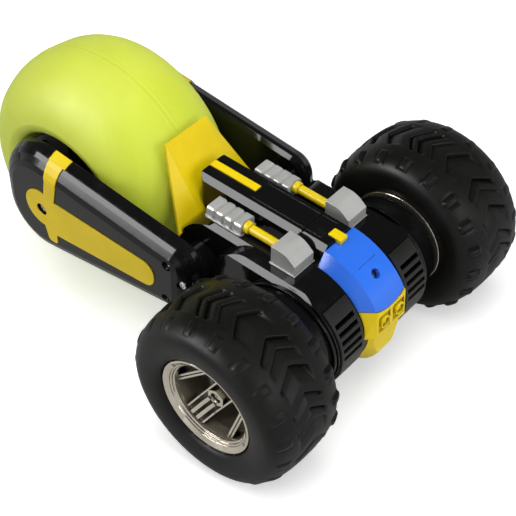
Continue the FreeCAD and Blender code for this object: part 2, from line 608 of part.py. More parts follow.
def battery_cover():
    lid = slab([(COVER_HINGE_X, -COVER_HALF), (COVER_X1, -COVER_HALF, 3), (COVER_X1, COVER_HALF, 3),
                (COVER_HINGE_X, COVER_HALF)], FLOOR_Z + 0.05, FLOOR_Z + 1.85)
    barrel = cyl(0.9, -COVER_HALF, COVER_HALF, COVER_HINGE_X, COVER_HINGE_Z)
    pins = cyl(0.7, -COVER_HALF - 1.6, COVER_HALF + 1.6, COVER_HINGE_X, COVER_HINGE_Z)
    cover = join([lid, barrel, pins])
    ribs = [box(x - 0.5, x + 0.5, -18, 18, FLOOR_Z - 1, FLOOR_Z + 0.45) for x in (-38, -34, -30)]
    catch = V(COVER_X1 - 6, 0, FLOOR_Z + 0.9)
    cover = less(cover, ribs + [post(2.5, FLOOR_Z - 1, catch.z, catch.x, 0),
                                post(1.2, FLOOR_Z - 1, FLOOR_Z + 3, catch.x, 0)])
    save("battery_cover", cover)
    save("battery_cover_screw", screw(catch, V(0, 0, -1), 2.3, 0.8, 1.2, 1.2))


# ---- front wheels -------------------------------------------------------------------------------
def rim():
    barrel = turned([(RIM_IN, 25.4), (RIM_IN, 30.8, 0.6), (RIM_IN + 1.8, 30.8, 0.6),
                     (RIM_IN + 1.8, RIM_SEAT_R), (108.4, RIM_SEAT_R), (108.4, 30.9, 0.4),
                     (RIM_OUT, 30.4, 0.7), (RIM_OUT, 29.2, 0.5), (108.7, 26.9), (108.1, 26.7),
                     (107.8, 25.9), (107.0, 25.6), (106.5, 24.8), (104.4, 24.4), (98.0, 24.4),
                     (96.0, 25.4)])
    bar_edge = [(4.0, 98.6), (24.9, 98.6), (24.9, 105.8), (22.8, 105.8), (13.0, HUB_FACE + 1.2),
                (4.0, HUB_FACE + 1.2)]
    rail_edge = [(-24.9, 97.6), (24.9, 97.6), (24.9, 105.2), (22.4, 105.2), (13.0, HUB_FACE),
                 (-24.9, HUB_FACE)]
    beam = [slab(bar_edge, side - 1.05, side + 1.05) for side in (-2.1, 2.1)]
    beam += [slab(rail_edge, side - 0.5, side + 0.5) for side in (-6.1, 6.1)]
    beam += [box(4.0, 24.9, 96.6, 98.8, -6.4, 6.4), box(-24.9, -4.0, 96.6, 98.2, -6.4, 6.4)]
    beam.append(slab([(18.5, 98.2), (24.9, 98.2), (24.9, 104.6), (22.6, 104.6)], -6.4, 6.4))
    trusses = [spun(join(beam), SPOKE_ANGLE)]
    for turn in (CHORD_TURN, -CHORD_TURN):
        chord = box(16.3, 19.4, 99.0, 104.2, -20, 20).cut(box(17.5, 18.2, 103.0, 105, -20, 20))
        trusses.append(spun(chord, SPOKE_ANGLE + turn))
    pieces = [barrel] + [truss.common(cyl(26.0, 50, 112)) for truss in trusses]
    hexagon = [(5.9 * math.cos(math.radians(60 * k + 28)), 5.9 * math.sin(math.radians(60 * k + 28)), 0.7)
               for k in range(6)]
    pieces.append(plate(hexagon, 92.0, HUB_FACE + 0.4))
    pieces.append(cyl(4.6, 90.0, 98.0))
    bore = [cyl(AXLE_R, 89, 98), cyl(1.4, 97, 106), cyl(3.3, WHEEL_SCREW_SEAT, 106)]
    return less(join(pieces), bore)


def axle_and_screw():
    axle = cyl(AXLE_R, 19.0, 98.0).cut(cyl(1.3, 86.5, 99.0))
    head = screw(V(0, WHEEL_SCREW_SEAT, 0), V(0, 1, 0), 2.4, 1.6, 1.3, 11.0)
    return axle, head


def tread_lug(angle):
    """One chevron: two legs meeting on the crown, then a shoulder block on each side."""
    legs = []
    for side in (-1, 1):
        outline = [(0.0, 6.2), (side * 14.0, -2.2), (side * 27.0, -3.0), (side * 27.0, -7.5),
                   (side * 14.0, -8.6), (0.0, -0.6)]
        points = [V(44, TYRE_MID + y, t) for y, t in outline]
        legs.append(Part.Face(Part.makePolygon(points + [points[0]])).extrude(V(14, 0, 0)))
    return spun(join(legs), angle)


def tyre():
    half = TYRE_HALF
    carcass = [(RIM_IN + 1.8, RIM_SEAT_R), (TYRE_MID - half + 1.5, 33, 2),
               (TYRE_MID - half, 42, 12), (TYRE_MID - 19.5, 51.4, 14), (TYRE_MID, 52.9, 60),
               (TYRE_MID + 19.5, 51.4, 14), (TYRE_MID + half, 42, 12), (TYRE_MID + half - 1.5, 33, 2),
               (TYRE_MID + 22.7, 31.2, 0.5), (TYRE_MID + 22.7, RIM_SEAT_R)]
    hollow = [(TYRE_MID - half + 5.4, RIM_SEAT_R - 1), (TYRE_MID - half + 4.4, 33),
              (TYRE_MID - half + 3.0, 42, 10), (TYRE_MID - 17.5, 48.4, 12), (TYRE_MID, 49.6, 60),
              (TYRE_MID + 17.5, 48.4, 12), (TYRE_MID + half - 3.0, 42, 10),
              (TYRE_MID + half - 5.6, 35), (TYRE_MID + 20.0, RIM_SEAT_R - 1)]
    envelope = [(TYRE_MID - half + 1.4, 40), (TYRE_MID - half + 0.4, 44, 6), (TYRE_MID - 19.0, 53.4, 12),
                (TYRE_MID, TYRE_R), (TYRE_MID + 19.0, 53.4, 12), (TYRE_MID + half - 0.4, 44, 6),
                (TYRE_MID + half - 1.4, 40)]
    lugs = Part.makeCompound([tread_lug(SIT_ANGLE + 18.0 * k) for k in range(20)])
    lugs = lugs.common(turned(envelope))
    rubber = turned(carcass).fuse(lugs.Solids)
    rubber = rubber.cut(turned(hollow))
    cuts = [cyl(RIM_SEAT_R, 50, 120), tube(31.0, 20, RIM_IN - 2, RIM_IN + 1.8), tube(31.4, 20, 108.4, 112)]
    return less(rubber, cuts)


# ---- rear wheel and fork ------------------------------------------------------------------------
def balloon():
    def side(grow):
        """Half section: rounded-square outer curve and the lip around the side opening."""
        points = []
        for step in range(13):
            turn = math.radians(90.0 - 6.6 * step)
            y = (BALLOON_HALF + 0.7 + grow) * math.cos(turn) ** 0.86
            r = 38.0 + (BALLOON_R - 38.0 + grow) * math.sin(turn) ** 0.86
            points.append((max(y, 0.0), r))
        return points + [(42.4 + grow, 43.4 - grow), (37.4 + grow * 0.4, 40.3 - grow)]

    def skin(grow):
        right = side(grow)
        points = [V(r, -y, 0) for y, r in reversed(right)] + [V(r, y, 0) for y, r in right[1:]]
        curve = Part.BSplineCurve()
        curve.interpolate(points)
        low_y, low_r = right[-1]
        base = [(low_r, low_y), (38.4 - grow, 32.9 + grow), (24.4 - grow, 29.1 + grow)]
        base = [V(r, y, 0) for r, y in base] + [V(r, -y, 0) for r, y in reversed(base)]
        edges = [curve.toShape()] + [Part.makeLine(a, b) for a, b in zip(base, base[1:])]
        face = Part.Face(Part.Wire(Part.__sortEdges__(edges)))
        return face.revolve(V(0, 0, 0), V(0, 1, 0), 360)

    return moved(skin(0.0).cut(skin(-1.6)), -WHEELBASE)


def rear_hub_half():
    profile = [(0.1, 2.5 + FIT), (0.1, 24.0), (29.6, 24.0), (33.2, 37.4), (35.4, 38.0, 0.8),
               (36.6, 37.2, 0.6), (36.6, 34.0, 0.6), (34.4, 33.0), (34.4, 22.0), (36.4, 20.0, 0.5),
               (36.4, 12.5, 0.5), (40.4, 10.0), (44.4, 8.5, 0.8), (44.4, 2.5 + FIT)]
    disc = turned(profile, -WHEELBASE)
    hollow = turned([(2.0, 6.0), (2.0, 22.0), (28.0, 22.0), (31.8, 34.0), (32.4, 20.0), (32.4, 6.0)],
                    -WHEELBASE)
    ribs = []
    for number in range(8):
        rib = box(-WHEELBASE + 22.5, -WHEELBASE + 33.4, 34.0, 36.0, -1.0, 1.0)
        ribs.append(spun(rib, number * 45.0, -WHEELBASE))
    return join([disc.cut(hollow)] + ribs)


ARM_CORNERS = [(-212.6, 43.8, 34.0), (-57.6, 30.3, 16.0), (-57.6, -18.5, 13.0), (-212.6, -44.7, 34.0)]


def arm_outline(inset):
    """Side view of the arm, moved inwards by inset on every edge."""
    count = len(ARM_CORNERS)
    lines = []
    for i in range(count):
        start, end = V(*ARM_CORNERS[i][:2], 0), V(*ARM_CORNERS[(i + 1) % count][:2], 0)
        along = end - start
        along.normalize()
        lines.append((start + V(along.y, -along.x, 0) * inset, along))
    points = []
    for i in range(count):
        (p, u), (q, w) = lines[i - 1], lines[i]
        cross = u.x * w.y - u.y * w.x
        reach = ((q.x - p.x) * w.y - (q.y - p.y) * w.x) / cross
        corner = p + u * reach
        points.append((corner.x, corner.y, max(ARM_CORNERS[i][2] - inset, 3.0)))
    return points


def arm_loft(steps):
    """Solid through arm outlines; a step is (y, inset)."""
    wires = [outline_wire(arm_outline(inset), lambda p, at=y: V(p.x, at, p.y)) for y, inset in steps]
    return Part.makeLoft(wires, True, True)


ARM_INNER = [(ARM_IN, 3.0), (47.0, 0.3), (50.0, 0.6), (ARM_SPLIT - 0.15, 2.2)]
ARM_OUTER = [(ARM_SPLIT + 0.15, 2.2), (56.8, 4.4), (59.5, 8.2), (ARM_OUT, 12.0)]
ARM_SCREWS = [(-73.1, 18.8), (-63.6, 7.8), (-74.6, -8.2)]
ARM_DOWELS = [(-150.0, -15.5), (-150.0, 24.0)]
TRIM_RAISE = 0.75
HUB_SEAT = 58.3           # where the heads of the rear axle's screws sit


def tyre_clearance():
    return cyl(59.5, 55.5, 70)


def fork_arms():
    axle = (-WHEELBASE, 0.0)
    inner = arm_loft(ARM_INNER).cut(arm_loft([(47.2, 2.6), (50, 2.8), (56, 4.2)]))
    outer_form = arm_loft(ARM_OUTER)
    outer = outer_form.cut(arm_loft([(52.0, 4.2), (56.3, 6.4), (58.8, 11.0)]))
    columns = [cyl(3.8, 46, ARM_SPLIT - 0.15, x, z) for x, z in ARM_SCREWS]
    columns += [cyl(2.5, 46, ARM_SPLIT + 2.0, x, z) for x, z in ARM_DOWELS]
    columns += [cyl(6.5, 46, ARM_SPLIT - 0.15, *axle), cyl(12.0, 32.0, ARM_SPLIT - 0.15, PIVOT_X, PIVOT_Z)]
    inner = join([inner] + columns)
    inner = less(inner, [cyl(1.2, 40, 60, x, z) for x, z in ARM_SCREWS])
    inner = less(inner, [cyl(2.5, 30, 70, *axle), cyl(PIVOT_R + FIT, 30, 70, PIVOT_X, PIVOT_Z)])
    solid_columns = [cyl(4.4, ARM_SPLIT + 0.15, 70, x, z) for x, z in ARM_SCREWS]
    solid_columns += [cyl(3.8, ARM_SPLIT + 0.15, 61.0, x, z) for x, z in ARM_DOWELS]
    solid_columns += [cyl(7.5, ARM_SPLIT + 0.15, 70, *axle),
                      cyl(5.0, ARM_SPLIT + 0.15, 60.5, PIVOT_X, PIVOT_Z)]
    outer = join([outer] + [c.common(outer_form) for c in solid_columns])
    outer = less(outer, [cyl(1.5, 50, 70, x, z) for x, z in ARM_SCREWS])
    outer = less(outer, [cyl(3.0, 57.0, 70, x, z) for x, z in ARM_SCREWS])
    outer = less(outer, [cyl(2.5 + FIT, 50, 56.6, x, z) for x, z in ARM_DOWELS])
    outer = less(outer, [cyl(2.5, 50, 60, *axle), cyl(4.2, HUB_SEAT, 70, *axle),
                         cyl(PIVOT_R + FIT, 50, 58.0, PIVOT_X, PIVOT_Z), tyre_clearance()])
    save_pair("arm_inner_half", inner)
    save_pair("arm_outer_half", outer)
    trim = arm_trim(outer_form).cut(cyl(4.2, 50, 70, *axle))
    save("arm_trims", *both(trim))
    shaft = cyl(2.5, 0.2 - HUB_SEAT, HUB_SEAT - 0.2, *axle)
    shaft = less(shaft, [cyl(1.3, 49.0, 60.0, *axle), cyl(1.3, -60.0, -49.0, *axle)])
    save("rear_axle", shaft)
    screws = []
    for x, z in ARM_SCREWS:
        screws += both(screw(V(x, 57.0, z), V(0, 1, 0), 2.6, 1.6, 1.2, 9.5))
    screws += both(screw(V(-WHEELBASE, HUB_SEAT, 0), V(0, 1, 0), 3.2, 1.9, 1.3, 9.0))
    save("arm_screws", *screws)


def arm_trim(outer_form):
    """Flat strip on the side of the arm: lobe round the axle, blade, tail and the strap over the top."""
    steps = [(y + 0.35, inset - TRIM_RAISE) for y, inset in ARM_OUTER[:-1]]
    raised = arm_loft(steps + [(ARM_OUT + 0.7, 11.2)])
    over = arm_loft([(47.8, 0.35 - TRIM_RAISE), (50.0, 0.6 - TRIM_RAISE), (54.6, 2.45 - TRIM_RAISE)])
    over = over.common(box(-171.1, -158.1, 47.8, 54.6, 26, 60))
    low, high = ARM_SPLIT, ARM_OUT + 3
    shapes = [cyl(13.3, low, high, -175.4, 1.2),
              plate([(-173, 12.0), (-82.7, 12.0, 8.4), (-82.7, -5.3, 8.4), (-164, -14.9),
                     (-173, -13.7)], low, high),
              plate([(-174.6, -10), (-171.6, -22.7, 2.5), (-164.3, -22.7, 2.5), (-164, -10)], low, high),
              plate([(-172.6, 11), (-169.9, 26), (-171.1, 50), (-158.1, 50), (-161.1, 24), (-164, 11)], low, high)]
    return less(join([join(shapes).common(raised), over]), [outer_form, arm_loft(ARM_INNER)])


def pivot_parts():
    save("fork_pivot_shaft", cyl(PIVOT_R, -57.5, 57.5, PIVOT_X, PIVOT_Z))
    helix = Part.makeHelix(2.1, 21.0, 5.4)
    profile = Part.Wire(Part.makeCircle(0.8, V(5.4, 0, 0), V(0, 1, 0)))
    coil = Part.Wire(helix.Edges).makePipeShell([profile], True, True)
    coil.rotate(V(0, 0, 0), V(1, 0, 0), -90)
    coil.translate(V(PIVOT_X, -10.5, PIVOT_Z))
    save("fork_spring", coil)


# ---- whole car ----------------------------------------------------------------------------------
def build():
    form = body_form()
    body_shells(form)
    body_screws()
    vent_grilles()
    spine_covers(form)
    visor(form)
    bumper(form)
    mudguard(form)
    deck_fittings(form)
    gearboxes()
    save_pair("motor", motor())
    save_pair("axle_housing", axle_housing())
    electrics()
    battery_cover()
    axle, wheel_screw = axle_and_screw()
    save_pair("tyre", tyre())
    save_pair("rim", rim())
    save_pair("front_axle", axle)
    save_pair("wheel_screw", wheel_screw)
    save("balloon_tyre", balloon())
    save("rear_hub_halves", *both(rear_hub_half()))
    fork_arms()
    pivot_parts()


def settled(shape):
    """Turn the level car nose-down on to its three wheels and centre its footprint."""
    copy = shape.copy()
    copy.rotate(V(0, 0, 0), V(0, 1, 0), SIT_ANGLE)
    copy.translate(V(SHIFT_X, 0, TYRE_R))
    return copy


build()
os.makedirs("parts", exist_ok=True)
for piece, solids in PARTS.items():
    placed = [settled(solid) for solid in solids]
    whole = placed[0] if len(placed) == 1 else Part.makeCompound(placed)
    whole.exportStep("parts/" + piece + ".step")
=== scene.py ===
"""Radio-control stunt car: finish, tyres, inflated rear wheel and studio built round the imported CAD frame."""
import math

import bmesh
import bpy
import numpy as np
from mathutils import Matrix, Vector, noise


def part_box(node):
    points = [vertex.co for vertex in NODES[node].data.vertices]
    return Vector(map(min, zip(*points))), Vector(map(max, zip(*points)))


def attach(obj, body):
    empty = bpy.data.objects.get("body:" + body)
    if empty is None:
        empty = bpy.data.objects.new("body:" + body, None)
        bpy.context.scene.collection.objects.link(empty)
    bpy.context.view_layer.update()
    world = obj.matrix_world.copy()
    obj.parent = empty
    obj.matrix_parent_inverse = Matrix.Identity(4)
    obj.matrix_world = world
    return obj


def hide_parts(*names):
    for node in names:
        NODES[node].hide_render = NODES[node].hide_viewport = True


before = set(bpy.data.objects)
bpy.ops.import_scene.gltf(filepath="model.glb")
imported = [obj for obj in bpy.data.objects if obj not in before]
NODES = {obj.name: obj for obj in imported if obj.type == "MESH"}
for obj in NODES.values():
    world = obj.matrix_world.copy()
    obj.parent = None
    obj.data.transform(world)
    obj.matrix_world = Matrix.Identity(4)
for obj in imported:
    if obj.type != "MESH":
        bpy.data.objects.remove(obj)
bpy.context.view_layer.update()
MM = 0.001


def middle(node):
    low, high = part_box(node)
    return (low + high) / 2


WHEEL = middle("left_rim")
BALLOON = middle("rear_hub_halves")
SIT = math.atan2(BALLOON.z - WHEEL.z, WHEEL.x - BALLOON.x)      # nose-down angle of the chassis
TYRE_MID = 85.6                                                 # out from the centre line, mm


def turned_down(v):
    """Direction in the level car's frame -> direction in the world."""
    return Vector((v[0] * math.cos(SIT) + v[2] * math.sin(SIT), v[1],
                   v[2] * math.cos(SIT) - v[0] * math.sin(SIT)))


def placed(v):
    """Point in the level car's frame, mm from the front axle's middle -> world point in metres."""
    return turned_down(v) * MM + Vector((WHEEL.x, 0.0, WHEEL.z))


# ---- node helpers -------------------------------------------------------------------------------
class Shader:
    """Small builder for one node tree."""

    def __init__(self, name):
        self.material = bpy.data.materials.new(name)
        self.material.use_nodes = True
        self.tree = self.material.node_tree
        self.tree.nodes.clear()
        self.out = self.tree.nodes.new("ShaderNodeOutputMaterial")
        self.coord = self.tree.nodes.new("ShaderNodeTexCoord").outputs["Object"]

    def put(self, socket, value):
        if isinstance(value, bpy.types.NodeSocket):
            self.tree.links.new(value, socket)
        elif value is not None:
            socket.default_value = value

    def node(self, kind, settings=None, **inputs):
        made = self.tree.nodes.new(kind)
        for key, value in (settings or {}).items():
            setattr(made, key, value)
        for key, value in inputs.items():
            self.put(made.inputs[key.replace("_", " ")], value)
        return made

    def scaled(self, x, y, z):
        made = self.node("ShaderNodeMapping", Vector=self.coord)
        made.inputs["Scale"].default_value = (x, y, z)
        return made.outputs["Vector"]

    def noise(self, scale, detail=3.0, rough=0.5, vector=None, distortion=0.0):
        made = self.node("ShaderNodeTexNoise", Vector=vector or self.coord, Scale=scale, Detail=detail,
                         Roughness=rough, Distortion=distortion)
        return made.outputs["Fac"]

    def math(self, operation, a, b=None, c=None, clamp=False):
        made = self.tree.nodes.new("ShaderNodeMath")
        made.operation, made.use_clamp = operation, clamp
        for socket, value in zip(made.inputs, (a, b, c)):
            self.put(socket, value)
        return made.outputs[0]

    def ramp(self, value, low, high, out_low=0.0, out_high=1.0, smooth=True):
        made = self.tree.nodes.new("ShaderNodeMapRange")
        made.interpolation_type = "SMOOTHSTEP" if smooth else "LINEAR"
        for socket, item in zip(made.inputs, (value, low, high, out_low, out_high)):
            self.put(socket, item)
        return made.outputs[0]

    def mix(self, amount, a, b):
        made = self.tree.nodes.new("ShaderNodeMix")
        made.data_type = "RGBA"
        self.put(made.inputs[0], amount)
        self.put(made.inputs[6], a)
        self.put(made.inputs[7], b)
        return made.outputs[2]

    def bump(self, height, distance, strength=1.0, normal=None):
        made = self.node("ShaderNodeBump", Height=height, Distance=distance, Strength=strength)
        self.put(made.inputs["Normal"], normal)
        return made.outputs["Normal"]

    def soft_edges(self, radius):
        return self.node("ShaderNodeBevel", {"samples": 4}, Radius=radius).outputs["Normal"]

    def edge_mask(self, rounded):
        """One on a sharp edge, zero on flat and gently curved faces."""
        geometry = self.tree.nodes.new("ShaderNodeNewGeometry")
        dot = self.node("ShaderNodeVectorMath", {"operation": "DOT_PRODUCT"})
        self.put(dot.inputs[0], rounded)
        self.put(dot.inputs[1], geometry.outputs["Normal"])
        return self.ramp(dot.outputs["Value"], 0.97, 0.75)

    def crevice(self, tone, reach, depth):
        """Painted shade: colour made darker where neighbouring surfaces crowd in: gaps, recesses and inner
        corners.
        """
        near = self.node("ShaderNodeAmbientOcclusion", {"samples": 4}, Distance=reach)
        crowded = self.ramp(near.outputs["AO"], 0.9, 0.35)
        return self.mix(self.math("MULTIPLY", crowded, depth), tone, (0.0, 0.0, 0.0, 1.0))

    def up_mask(self):
        geometry = self.tree.nodes.new("ShaderNodeNewGeometry")
        split = self.node("ShaderNodeSeparateXYZ", Vector=geometry.outputs["Normal"])
        return self.ramp(split.outputs["Z"], 0.3, 0.95)

    def finish(self, **inputs):
        surface = self.node("ShaderNodeBsdfPrincipled")
        for key, value in inputs.items():
            self.put(surface.inputs[key.replace("_", " ")], value)
        self.tree.links.new(surface.outputs[0], self.out.inputs["Surface"])
        return self.material


def shade(colour, factor):
    return tuple(min(1.0, c * factor) for c in colour[:3]) + (1.0,)


def plastic(name, colour, roughness, worn=None, grain=0.5, specular=0.5):
    """Injection-moulded plastic: flow shading, polish marks, rubbed edges, a little dust on top and painted
    shade in recesses.
    """
    s = Shader(name)
    base = colour + (1.0,)
    cloud = s.noise(22.0, 4.0, 0.55)
    fine = s.noise(900.0, 2.0, 0.6)
    scuff = s.noise(60.0, 5.0, 0.7, vector=s.scaled(1.0, 7.0, 3.0), distortion=0.8)
    rounded = s.soft_edges(0.35 * MM)
    edge_patches = s.math("MULTIPLY", s.edge_mask(rounded), s.ramp(s.noise(140.0, 3.0), 0.35, 0.7))
    tone = s.mix(s.ramp(cloud, 0.3, 0.7), shade(base, 0.93), shade(base, 1.05))
    tone = s.mix(s.math("MULTIPLY", edge_patches, 0.5), tone, worn or shade(base, 1.6))
    dust = s.math("MULTIPLY", s.up_mask(), s.ramp(s.noise(45.0, 6.0, 0.65), 0.5, 0.85))
    tone = s.mix(s.math("MULTIPLY", dust, 0.035), tone, (0.42, 0.40, 0.37, 1.0))
    # painted shade in gaps, recesses and inner corners
    tone = s.crevice(tone, 2.5 * MM, 0.6)
    gloss = s.ramp(cloud, 0.25, 0.75, roughness * 0.88, roughness * 1.12)
    gloss = s.math("ADD", gloss, s.math("MULTIPLY", s.ramp(scuff, 0.52, 0.75), 0.05))
    gloss = s.math("ADD", gloss, s.math("MULTIPLY", edge_patches, 0.12))
    skin = s.math("ADD", s.math("MULTIPLY", fine, 0.4 * grain), s.math("MULTIPLY", cloud, 2.2))
    normal = s.bump(skin, 0.02 * MM, 0.5, rounded)
    return s.finish(Base_Color=tone, Roughness=gloss, Normal=normal, Specular_IOR_Level=specular)


def silver_paint(name, colour, roughness):
    """Metallic-look moulded plastic: fine flake, soft sparkle, lighter edges (paint worn thin plus a painted
    edge highlight) and painted shade in recesses.
    """
    s = Shader(name)
    base = colour + (1.0,)
    cloud = s.noise(30.0, 4.0)
    flake = s.node("ShaderNodeTexVoronoi", Vector=s.coord, Scale=2600.0).outputs["Color"]
    rounded = s.soft_edges(0.4 * MM)
    edge_patches = s.math("MULTIPLY", s.edge_mask(rounded), s.ramp(s.noise(160.0, 3.0), 0.4, 0.7))
    tone = s.mix(s.ramp(cloud, 0.3, 0.7), shade(base, 0.92), shade(base, 1.06))
    bright = s.node("ShaderNodeRGBToBW", Color=flake).outputs[0]
    tone = s.mix(s.math("MULTIPLY", bright, 0.16), tone, (0.95, 0.95, 0.93, 1.0))
    # lighter sharp edges: partly paint worn thin, partly a painted edge highlight
    tone = s.mix(s.math("MULTIPLY", edge_patches, 0.7), tone, (0.86, 0.86, 0.84, 1.0))
    # painted shade in gaps, recesses and inner corners
    tone = s.crevice(tone, 3.0 * MM, 0.6)
    gloss = s.ramp(cloud, 0.25, 0.75, roughness * 0.9, roughness * 1.15)
    normal = s.bump(s.math("ADD", bright, s.math("MULTIPLY", cloud, 2.0)), 0.012 * MM, 0.6, rounded)
    return s.finish(Base_Color=tone, Metallic=0.35, Roughness=gloss, Normal=normal,
                    Coat_Weight=0.15, Coat_Roughness=0.2)


def metal(name, colour, roughness, brushed=0.0, tarnish=0.25, body=0.0, grime=0.2):
    """Plated or bare metal with turning marks, haze and dark spots; body is the milky share, grime the strength
    of the painted shade in hollows.
    """
    s = Shader(name)
    base = colour + (1.0,)
    cloud = s.noise(40.0, 5.0, 0.6)
    lines = s.noise(1500.0, 2.0, 0.5, vector=s.scaled(0.06, 1.0, 0.06))
    spots = s.ramp(s.noise(260.0, 3.0, 0.7), 0.62, 0.8)
    tone = s.mix(s.ramp(cloud, 0.3, 0.75), base, shade(base, 1.0 - tarnish * 0.5))
    tone = s.mix(s.math("MULTIPLY", spots, tarnish), tone, shade(base, 0.45))
    # painted shade in gaps, recesses and hollows
    tone = s.crevice(tone, 4.0 * MM, grime)
    gloss = s.ramp(cloud, 0.3, 0.8, roughness, roughness + 0.05)
    gloss = s.math("ADD", gloss, s.math("MULTIPLY", lines, brushed * 0.3))
    ripple = s.noise(55.0, 1.0)
    height = s.math("ADD", s.math("MULTIPLY", lines, brushed), s.math("MULTIPLY", ripple, 2.0))
    normal = s.bump(height, 0.015 * MM, 0.5, s.soft_edges(0.2 * MM))
    return s.finish(Base_Color=tone, Metallic=1.0 - body, Roughness=gloss, Normal=normal)


def rubber(name):
    """Tyre rubber: faint mould lines round the wheel, mottled bloom and painted shade in the creases and low
    places.
    """
    s = Shader(name)
    cloud = s.noise(28.0, 5.0, 0.6)
    bloom = s.ramp(s.noise(75.0, 5.0, 0.65), 0.48, 0.8)
    grain = s.noise(1700.0, 2.0, 0.6)
    tone = s.mix(s.ramp(cloud, 0.3, 0.7), (0.0040, 0.0039, 0.0035, 1.0), (0.0072, 0.0070, 0.0064, 1.0))
    tone = s.mix(s.math("MULTIPLY", bloom, 0.10), tone, (0.035, 0.033, 0.029, 1.0))
    geometry = s.tree.nodes.new("ShaderNodeNewGeometry")
    # painted shade: creases and the steep walls of the tread made near black and less shiny
    crease_shade = s.ramp(geometry.outputs["Pointiness"], 0.497, 0.455)
    tone = s.mix(s.math("MULTIPLY", crease_shade, 0.8), tone, (0.002, 0.002, 0.002, 1.0))
    gloss = s.ramp(cloud, 0.3, 0.75, 0.36, 0.50)
    gloss = s.math("ADD", gloss, s.math("MULTIPLY", bloom, 0.10))
    normal = s.bump(s.math("ADD", grain, s.math("MULTIPLY", cloud, 1.5)), 0.05 * MM, 0.5)
    return s.finish(Base_Color=tone, Roughness=gloss, Normal=normal,
                    Specular_IOR_Level=s.ramp(crease_shade, 0.0, 1.0, 0.20, 0.02))


def vinyl(name):
    """Inflated matt vinyl: cloudy lime, fine leathery grain, slightly paler stretched areas and painted shade
    in the creases.
    """
    s = Shader(name)
    cloud = s.noise(11.0, 4.0, 0.55)
    smear = s.noise(55.0, 5.0, 0.6, distortion=0.6)
    grain = s.node("ShaderNodeTexVoronoi", {"feature": "SMOOTH_F1"}, Vector=s.coord,
                   Scale=820.0).outputs["Distance"]
    tone = s.mix(s.ramp(cloud, 0.3, 0.7), (0.63, 0.73, 0.052, 1.0), (0.70, 0.79, 0.085, 1.0))
    tone = s.mix(s.math("MULTIPLY", s.ramp(smear, 0.5, 0.8), 0.25), tone, (0.70, 0.79, 0.115, 1.0))
    geometry = s.tree.nodes.new("ShaderNodeNewGeometry")
    # painted shade: creases and folds made darker green
    crease_shade = s.ramp(geometry.outputs["Pointiness"], 0.495, 0.46)
    tone = s.mix(s.math("MULTIPLY", crease_shade, 0.45), tone, (0.30, 0.43, 0.02, 1.0))
    gloss = s.ramp(smear, 0.3, 0.8, 0.46, 0.60)
    normal = s.bump(s.math("ADD", grain, s.math("MULTIPLY", smear, 1.5)), 0.06 * MM, 0.35)
    return s.finish(Base_Color=tone, Roughness=gloss, Normal=normal, Subsurface_Weight=0.08,
                    Subsurface_Radius=(0.004, 0.004, 0.001), Subsurface_Scale=0.5,
                    Specular_IOR_Level=0.4)


def board(name):
    """Circuit board: solder-resist green with faint tracks."""
    s = Shader(name)
    cells = s.node("ShaderNodeTexBrick", Vector=s.coord, Scale=180.0)
    tracks = s.ramp(cells.outputs["Fac"], 0.4, 0.6)
    cloud = s.noise(60.0, 4.0)
    tone = s.mix(tracks, (0.012, 0.13, 0.04, 1.0), (0.03, 0.22, 0.07, 1.0))
    tone = s.mix(s.math("MULTIPLY", cloud, 0.3), tone, (0.01, 0.09, 0.03, 1.0))
    normal = s.bump(tracks, 0.04 * MM, 0.5, s.soft_edges(0.15 * MM))
    return s.finish(Base_Color=tone, Roughness=s.ramp(cloud, 0.3, 0.7, 0.3, 0.45), Normal=normal)


GLOSS_BLACK = plastic("gloss_black", (0.0045, 0.0045, 0.0048), 0.09, worn=(0.06, 0.06, 0.06, 1.0),
                      specular=0.27)
SATIN_BLACK = plastic("satin_black", (0.0090, 0.0090, 0.0092), 0.36, worn=(0.07, 0.07, 0.07, 1.0),
                      grain=1.5, specular=0.3)
GRILLE_BLACK = plastic("grille_black", (0.012, 0.012, 0.011), 0.34, worn=(0.12, 0.12, 0.11, 1.0),
                       grain=1.5, specular=0.35)
BLUE = plastic("visor_blue", (0.030, 0.17, 0.83), 0.20, worn=(0.25, 0.45, 0.95, 1.0))
YELLOW = plastic("bumper_yellow", (0.90, 0.67, 0.004), 0.32, worn=(0.98, 0.86, 0.20, 1.0),
                 specular=0.3)
TRIM_YELLOW = plastic("trim_yellow", (0.84, 0.62, 0.012), 0.38, worn=(0.85, 0.7, 0.15, 1.0),
                      specular=0.2)
SILVER = silver_paint("silver_plastic", (0.53, 0.53, 0.51), 0.34)
# chrome: strong painted shade in its hollows, set by the last argument
CHROME = metal("warm_chrome", (0.64, 0.59, 0.49), 0.08, tarnish=0.2, body=0.16, grime=0.8)
ZINC = metal("zinc_screw", (0.66, 0.65, 0.62), 0.24, brushed=0.3)
STEEL = metal("ground_steel", (0.52, 0.52, 0.53), 0.26, brushed=0.8)
BRASS = metal("brass", (0.80, 0.58, 0.24), 0.26, brushed=0.5)
NYLON = plastic("white_nylon", (0.72, 0.71, 0.66), 0.42)
COMPONENT = plastic("component_black", (0.015, 0.015, 0.016), 0.48)
CAN = metal("cell_can", (0.45, 0.47, 0.50), 0.30, brushed=0.5)
BOARD = board("board_green")
RUBBER = rubber("tyre_rubber")
VINYL = vinyl("lime_vinyl")

